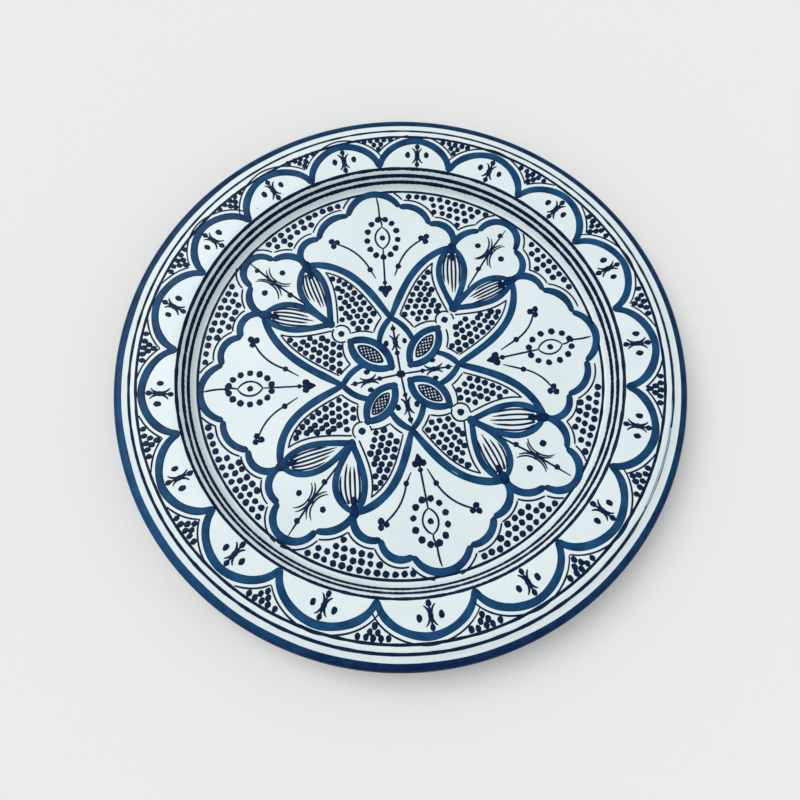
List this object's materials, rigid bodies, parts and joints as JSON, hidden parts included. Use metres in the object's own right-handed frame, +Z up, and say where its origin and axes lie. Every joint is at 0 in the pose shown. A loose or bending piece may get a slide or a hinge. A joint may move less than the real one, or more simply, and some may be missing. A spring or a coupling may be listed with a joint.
{
  "type": "decorative plate",
  "caption": "Round glazed ceramic plate with a flat floor, a shallow well, a broad flat rim, a rounded lip, a turned foot ring and a hand painted blue floral and dotted pattern.",
  "frame": {"origin": "centre of the foot ring's resting face", "axes": "+Z up along the plate's axis of rotation, out of the well; +X to the right and +Y to the far side of the painting as laid out"},
  "size_m": [0.3603, 0.3604, 0.028],
  "materials": {
    "bare_clay": "unglazed fired clay",
    "front_glaze": "glossy white tin glaze with a cool tone",
    "back_glaze": "glossy white tin glaze, thinner and plain",
    "cobalt_paint": "cobalt blue brush strokes fired into the glaze",
    "navy_paint": "dark blue lines and dots fired into the glaze"
  },
  "bodies": {
    "root": {"clay_body": "bare_clay", "front_glaze": "front_glaze", "back_glaze": "back_glaze", "foot_recess_glaze": "back_glaze", "lip_band": "cobalt_paint", "rim_pinstripe": "navy_paint", "rim_outer_line": "navy_paint", "rim_inner_line": "navy_paint", "upper_wall_line": "navy_paint", "lower_wall_line": "navy_paint", "floor_ring_line": "navy_paint", "rim_scallops": "cobalt_paint", "rim_sprays": "navy_paint", "rim_spandrel_outlines": "navy_paint", "rim_spandrel_dots": "navy_paint", "node_blots": "cobalt_paint", "blade_strokes": "cobalt_paint", "large_cartouches": "cobalt_paint", "small_cartouches": "cobalt_paint", "leaf_outlines": "cobalt_paint", "leaf_veins": "navy_paint", "eye_petals": "cobalt_paint", "eye_nets": "navy_paint", "centre_ogives": "cobalt_paint", "centre_sprays": "navy_paint", "blade_field_outlines": "navy_paint", "blade_field_dots": "navy_paint", "blade_disc_dots": "navy_paint", "floor_spandrel_outlines": "navy_paint", "floor_spandrel_dots": "navy_paint", "almond_medallions": "navy_paint", "medallion_dots": "navy_paint", "side_sprigs": "navy_paint", "small_cartouche_sprays": "navy_paint"}
  },
  "joints": []
}
